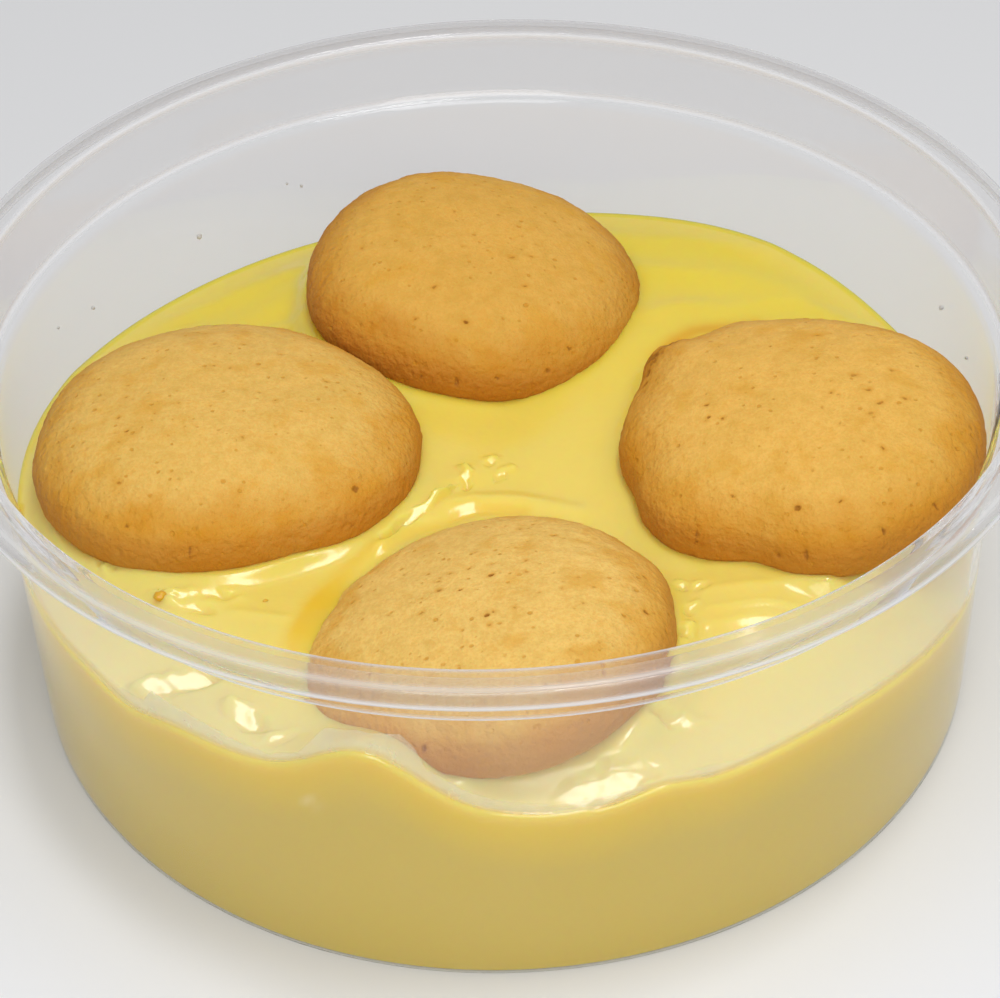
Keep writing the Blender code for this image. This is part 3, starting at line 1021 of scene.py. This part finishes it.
def bent(x, y, size):
    """Places in millimetres, pushed about by noise, so that what is drawn on them looks made by hand."""
    push_x = BEND * relief(on_ground(x, y), size, seed=41)
    push_y = BEND * relief(on_ground(x, y), size, seed=43)
    return 1000 * x + push_x, 1000 * y + push_y


def spooned_level(x, y, outer):
    """Height of the pudding's top without its flats, where outer is the radius it reaches."""
    flat = on_ground(x, y)
    level = np.full(x.shape, PUDDING_MIDDLE)
    for centre_x, centre_y, rise, spread in MOUNDS:
        level += rise * bell(np.hypot(x - centre_x, y - centre_y), spread)
    level += 0.00020 * relief(flat, 0.0110, seed=31) + 0.00006 * relief(flat, 0.0045, seed=37)
    bearing = np.degrees(np.arctan2(x, -y))
    inset = outer - np.hypot(x, y)
    share = bell(inset, WALL_REACH)
    level = level * (1 - share) + level_at_wall(bearing) * share
    for spec in WAFERS.values():
        away = np.maximum(wafer_away(x, y, spec), 0)
        climb = wafer_edge_level(x, y, spec) - CLIMB_BELOW_EDGE - level
        level += np.clip(climb, 0, CLIMB_MOST) * bell(away, CLIMB_REACH) * np.clip(inset / 0.004, 0, 1)
    bent_x, bent_y = bent(x, y, BROAD_BEND)
    for path, rise, width in CRESTS + GROOVES:
        level += rise / 1000 * bell(distance_to_path(bent_x, bent_y, path), width)
    return level


def pudding_level(x, y, outer):
    """Height of the pudding's top with its flats, each a small leaning plane with a soft edge."""
    level = spooned_level(x, y, outer)
    bent_x, bent_y = bent(x, y, SMALL_BEND)
    ripple = FLAT_RIPPLE * relief(on_ground(x, y), FLAT_RIPPLE_SIZE, seed=47)
    for centre_x, centre_y, length, width, bearing in FLATS:
        middle = spooned_level(np.array([centre_x / 1000]), np.array([centre_y / 1000]), outer)[0]
        slope_x = FLAT_SLOPE_X[0] + FLAT_SLOPE_X[1] * centre_x / 1000
        slope_y = FLAT_SLOPE_Y[0] + FLAT_SLOPE_Y[1] * centre_y / 1000
        plane = middle + slope_x * (x - centre_x / 1000) + slope_y * (y - centre_y / 1000) + ripple
        turn = math.radians(bearing)
        along = (bent_x - centre_x) * math.cos(turn) + (bent_y - centre_y) * math.sin(turn)
        across = (bent_y - centre_y) * math.cos(turn) - (bent_x - centre_x) * math.sin(turn)
        away = (np.hypot(along / length, across / width) - 1) * width
        edge = min(FLAT_EDGE, width * 0.4)
        share = np.clip(0.7 - away / (2 * edge), 0, 1)
        level += (plane - level) * share * share * (3 - 2 * share)
    return level


# %% [markdown]
# ## Wet pudding
#
# Pudding is milk, so light goes some way into it, and red and yellow light go further than blue.
# That is what makes the thin places and the grooves a deeper yellow than the flat top, and it is a
# Subsurface setting in the shader; in the grooves and round the wafers, where the pudding lies in
# shade, a deeper yellow is also painted on, a painted shade.  Under the line at the wall the side
# has a painted glow for a few millimetres, a brighter yellow that stands for light coming through
# the pudding, and then a painted shade of tan for the less light that the side gets.  Near the wall
# the top is painted paler, most of all at the front: painted light.  The surface is wet and smooth,
# with small sharp highlights.

# %% Pudding finish
CREAM_FADE = (-0.020, 0.045)
CREAM_YELLOW = (0.945, 0.735, 0.165)
BACK_YELLOW = (0.860, 0.680, 0.052)
DEEP_YELLOW = (0.880, 0.560, 0.015)
# A number that the mesh carries, and the colour it brings, in the order they are laid on.  The
# deeper yellow of the first and the tan of the side are painted shade, and the bright yellow under
# the line and the pale colour are painted light.
PUDDING_LAYERS = [
    ("hollow", DEEP_YELLOW),
    ("amber", (0.800, 0.440, 0.012)),
    ("side", (0.695, 0.500, 0.046)),
    ("glow", (0.870, 0.600, 0.004)),
    ("pale", (0.985, 0.810, 0.330)),
    ("bubble", (0.900, 0.760, 0.340)),
]

pudding_look = new_finish("pudding")
clouds = pudding_look.noise(0.010, seed=5.0)
fine = pudding_look.noise(0.0016, seed=6.0)
back = pudding_look.between(pudding_look.far_back(), *CREAM_FADE)
custard = pudding_look.blend(back, CREAM_YELLOW, BACK_YELLOW)
cloudy = pudding_look.between(clouds, 0.35, 0.75)
custard = pudding_look.blend(0.12 * cloudy, custard, DEEP_YELLOW)
for label, colour in PUDDING_LAYERS:
    custard = pudding_look.blend(pudding_look.attribute(label), custard, colour)
pudding_look.shade(
    Base_Color=custard,
    Roughness=0.14 + 0.06 * clouds,
    Normal=pudding_look.bump(fine, 0.00004),
    Subsurface_Weight=0.8,
    Subsurface_Radius=(1.0, 0.62, 0.16),
    Subsurface_Scale=0.0030,
    Specular_IOR_Level=0.45,
)

# %% Marks on the pudding
# How deep under the line the painted glow and the painted pale band reach, and how wide the painted shade
# round the wafers is.
PAINTED_GLOW_DEPTH = 0.0078
PAINTED_PALE_DEPTH = 0.0009
PAINTED_SHADE_WIDTH = 0.0014
# A stain is (its path, half width) in millimetres: pudding that a wafer has coloured.
STAINS = [([(18.4, 15.4), (20.4, 18.0), (22.8, 20.0), (26.0, 21.0), (29.5, 21.7)], 1.3)]
# The bubble is (bearing from the front, height, half width in degrees, half height) on the side.
BUBBLE = (-21.5, 0.0224, 1.0, 0.0005)


def shade_round_wafer(x, y, spec):
    """How strongly painted shade deepens the yellow of the pudding round a wafer."""
    away = wafer_away(x, y, spec)
    bearing = np.degrees(np.arctan2(y - spec["place"][1], x - spec["place"][0]))
    shade_halo = 0.35 * bell(np.maximum(away, 0), 0.0007)
    fade = np.clip(0.5 - away / PAINTED_SHADE_WIDTH, 0, 1)
    for middle, spread, strength in spec["shaded_halos"]:
        share = strength * bell(turn_from(middle, bearing), spread)
        shade_halo = np.maximum(shade_halo, 0.85 * share * fade * fade * (3 - 2 * fade))
    return shade_halo


def pudding_marks(rings, line, outer):
    """The numbers that the finish reads: how the pudding's colour changes, painted light and shade among
    them.
    """
    x, y, level = rings[..., 0], rings[..., 1], rings[..., 2]
    reach = np.hypot(x, y)
    depth = np.maximum(line[None, :] - level, 0)
    side = (reach > outer * 0.985) & (level < line[None, :] + 0.0001)
    top = ~side
    front = np.clip(-y / 0.030, 0, 1)

    # The side gets a painted glow under the line and a painted shade of tan below; near the wall the
    # top is painted paler, a painted light, most of all at the front.
    shaded_side = side * np.clip(depth / 0.0008 + 3 * front, 0, 1)
    glow = shaded_side * np.clip(1 - depth / PAINTED_GLOW_DEPTH, 0, 1)
    pale = side * 0.35 * bell(depth, PAINTED_PALE_DEPTH) * front
    pale = np.maximum(pale, top * 0.90 * np.clip((reach - 0.036) / 0.014, 0, 1) * front)
    pale = np.maximum(pale, top * 0.25 * np.clip((reach - 0.047) / 0.004, 0, 1))

    # Painted shade: the yellow is deeper round the wafers and in the grooves, where they lie in shade.
    # Amber is where a wafer bled, with a touch more where the painted shade is deepest.
    hollow = np.zeros(level.shape)
    for spec in WAFERS.values():
        hollow = np.maximum(hollow, shade_round_wafer(x, y, spec))
    bent_x, bent_y = bent(x, y, BROAD_BEND)
    for path, rise, width in GROOVES:
        away = distance_to_path(bent_x, bent_y, path)
        hollow = np.maximum(hollow, 0.35 * bell(away, width * 1.1))
    amber = np.zeros(level.shape)
    for path, width in STAINS:
        amber = np.maximum(amber, 0.90 * bell(distance_to_path(bent_x, bent_y, path), width))
    amber = np.maximum(amber, 0.08 * hollow**3)

    # One flat bubble against the wall.
    bubble_turn, bubble_level, half_width, half_height = BUBBLE
    across = (np.degrees(np.arctan2(x, -y)) - bubble_turn) / half_width
    bubble = side * 0.55 * bell(np.hypot(across, (level - bubble_level) / half_height), 1.0)
    return {
        "side": shaded_side,
        "glow": glow,
        "pale": pale,
        "hollow": hollow * top,
        "amber": amber * top,
        "bubble": bubble,
    }


# %% Pudding


def make_pudding():
    """The pudding, from the middle of its floor, up the wall and over its top."""
    cover = WALL - INTO_WALL
    outer = wall_outside(PUDDING_AT_WALL) - cover
    floor = spin(floor_inside(cover), PUDDING_STEPS)
    radii = outer * np.linspace(1, 0.002, PUDDING_RINGS) ** 0.9
    top = spin([(radius, 0.0) for radius in radii], PUDDING_STEPS)
    top[..., 2] = pudding_level(top[..., 0], top[..., 1], outer)
    line = top[0, :, 2]
    top[0, :, :2] *= ((wall_outside(line) - cover) / outer)[:, None]
    around = np.arange(PUDDING_STEPS) * math.tau / PUDDING_STEPS
    start = cover + INSIDE_CORNER
    side = []
    for share in np.linspace(0, 1, PUDDING_SIDE_RINGS)[1:-1]:
        level = start + (line - start) * share
        radius = wall_outside(level) - cover
        side.append(np.stack([radius * np.cos(around), radius * np.sin(around), level], axis=1))
    rings = np.concatenate([floor, np.array(side), top])
    return make_skin("spooned_pudding", rings, pudding_look, pudding_marks(rings, line, outer))


settle(make_pudding(), "pudding", "pudding")

# %% [markdown]
# ## Smears and specks
#
# Spooning leaves traces.  A thin film of pudding clings to the front wall above the line, highest
# where it was pushed up beside the front wafer, with a ragged upper edge.  It is a closed strip
# that sits a little way into the wall, and it thins out upwards.  A few specks sit on the wall,
# their grey a painted shade, and a few crumbs lie on the pudding.

# %% Film on the wall
# The film's upper edge is (bearing in degrees from the front, height in millimetres).
FILM_EDGE = [
    (-66, 24.9), (-60, 25.4), (-55, 26.2), (-49, 26.0), (-43, 26.4), (-41.4, 28.5), (-36, 28.3), (-31, 27.5),
    (-26, 27.2), (-22.5, 28.4), (-20, 31.8), (-19, 33.0), (-11, 33.3), (-9.6, 31.8), (-8.6, 29.0), (-5, 26.6),
    (-1, 24.9), (5, 24.0), (14, 25.1), (20, 25.2), (25, 24.8), (40, 24.9), (49, 23.7), (60, 21.6), (66, 20.1),
]
FILM_END = 66
FILM_STEPS = 520
FILM_BANDS = 16
# Metres of noise for each degree of wall, for the film's ragged edge.
FILM_NOISE_STEP = 0.05 / 60
FILM_COLOUR = (0.940, 0.880, 0.620)

film_look = new_finish("pudding_film")
streaks = film_look.noise(0.0030, detail=3.0, seed=8.0)
film_look.shade(
    Base_Color=FILM_COLOUR,
    Roughness=0.30,
    Alpha=film_look.attribute("cover") * (0.75 + 0.45 * film_look.between(streaks, 0.30, 0.70)),
)


def make_film():
    """A thin closed strip along the front of the wall."""
    bearing = np.linspace(-FILM_END, FILM_END, FILM_STEPS)
    line = level_at_wall(bearing)
    edge = np.interp(bearing, *np.array(FILM_EDGE).T) / 1000
    spots = on_ground(bearing * FILM_NOISE_STEP, line * 0)
    edge = np.maximum(edge + 0.00022 * relief(spots, 0.0022, 3, 51), line + 0.0007)
    fade = np.clip((FILM_END - np.abs(bearing)) / 4, 0, 1) ** 0.5
    bottom = line - 0.0006
    up = np.linspace(0, 1, FILM_BANDS)
    share = np.concatenate([up, up[::-1]])
    depth = np.concatenate([np.full(FILM_BANDS, 0.00012), -0.00016 * (1 - up[::-1]) - 0.00004])
    level = bottom[:, None] + ((edge - bottom) * fade)[:, None] * share
    radius = wall_outside(level) - WALL + depth
    angle = np.radians(bearing)[:, None]
    strip = np.stack([radius * np.sin(angle), -radius * np.cos(angle), level], axis=2)
    # Between bearings of about -46 and 2 degrees the smear ends in a crisp edge.
    crisp = (np.clip((2 - bearing) / 8, 0, 1) * np.clip((bearing + 46) / 3, 0, 1))[:, None]
    cover = 0.34 - 0.06 * crisp - (0.30 - 0.24 * crisp) * share**1.5
    return make_skin("pudding_film", strip, film_look, {"cover": cover})


settle(make_film(), "pudding")

# %% Crumbs
# A speck is (bearing from the front, height in millimetres, size in millimetres) on the wall.
WALL_SPECKS = [
    (-138.4, 28.8, 0.30), (-154.3, 30.2, 0.18), (-152.3, 31.1, 0.16), (-118.3, 29.1, 0.22),
    (-110.3, 31.2, 0.16), (106.9, 31.7, 0.28), (98.1, 30.5, 0.20), (-32.7, 23.5, 0.22),
    (-21.8, 27.8, 0.18), (-14.9, 21.6, 0.14),
]
# A crumb is (x, y, size in millimetres, share of it that is sunk).
CRUMBS = [(-34.8, -22.9, 0.62, 0.30), (-24.1, -23.9, 0.28, 0.45)]

# The specks' grey is painted shade.
shaded_speck_look = new_finish("wall_speck")
shaded_speck_look.shade(Base_Color=(0.60, 0.59, 0.56), Roughness=0.6)
crumb_look = new_finish("crumb")
crumb_look.shade(
    Base_Color=(0.800, 0.430, 0.020),
    Roughness=0.30,
    Subsurface_Weight=0.2,
    Subsurface_Scale=0.001,
)


def make_grains(name, finish, grains, seed):
    """One object of small uneven lumps, each (middle, its three half sizes)."""
    work = bmesh.new()
    for middle, sizes in grains:
        made = bmesh.ops.create_icosphere(work, subdivisions=3, radius=1.0)["verts"]
        for point in made:
            spot = point.co * 1.4 + Vector((seed, 0, middle[0] * 900))
            bumps = 1 + 0.35 * noise.fractal(spot, 1.0, 2.0, 2)
            point.co = Vector([value * size * bumps for value, size in zip(point.co, sizes)]) + Vector(middle)
    mesh = bpy.data.meshes.new(name)
    work.to_mesh(mesh)
    work.free()
    mesh.shade_smooth()
    mesh.materials.append(finish.owner)
    print(name, "has", len(grains), "grains")
    return new_item(name, mesh)


grains = []
for bearing, level, size in WALL_SPECKS:
    radius = wall_outside(level / 1000) - WALL
    angle = math.radians(bearing)
    middle = (radius * math.sin(angle), -radius * math.cos(angle), level / 1000)
    grains.append((middle, (size / 1000,) * 3))
settle(make_grains("wall_specks", shaded_speck_look, grains, 3), "wafer")

grains = []
outer = wall_outside(PUDDING_AT_WALL) - WALL
for x, y, size, sunk in CRUMBS:
    level = float(pudding_level(np.array([x / 1000]), np.array([y / 1000]), outer)[0])
    middle = (x / 1000, y / 1000, level + size / 1000 * (0.8 - 2 * sunk))
    grains.append((middle, (size / 1000, size * 0.8 / 1000, size * 0.8 / 1000)))
settle(make_grains("crumbs", crumb_look, grains, 5), "wafer")

# %% End
print("done")
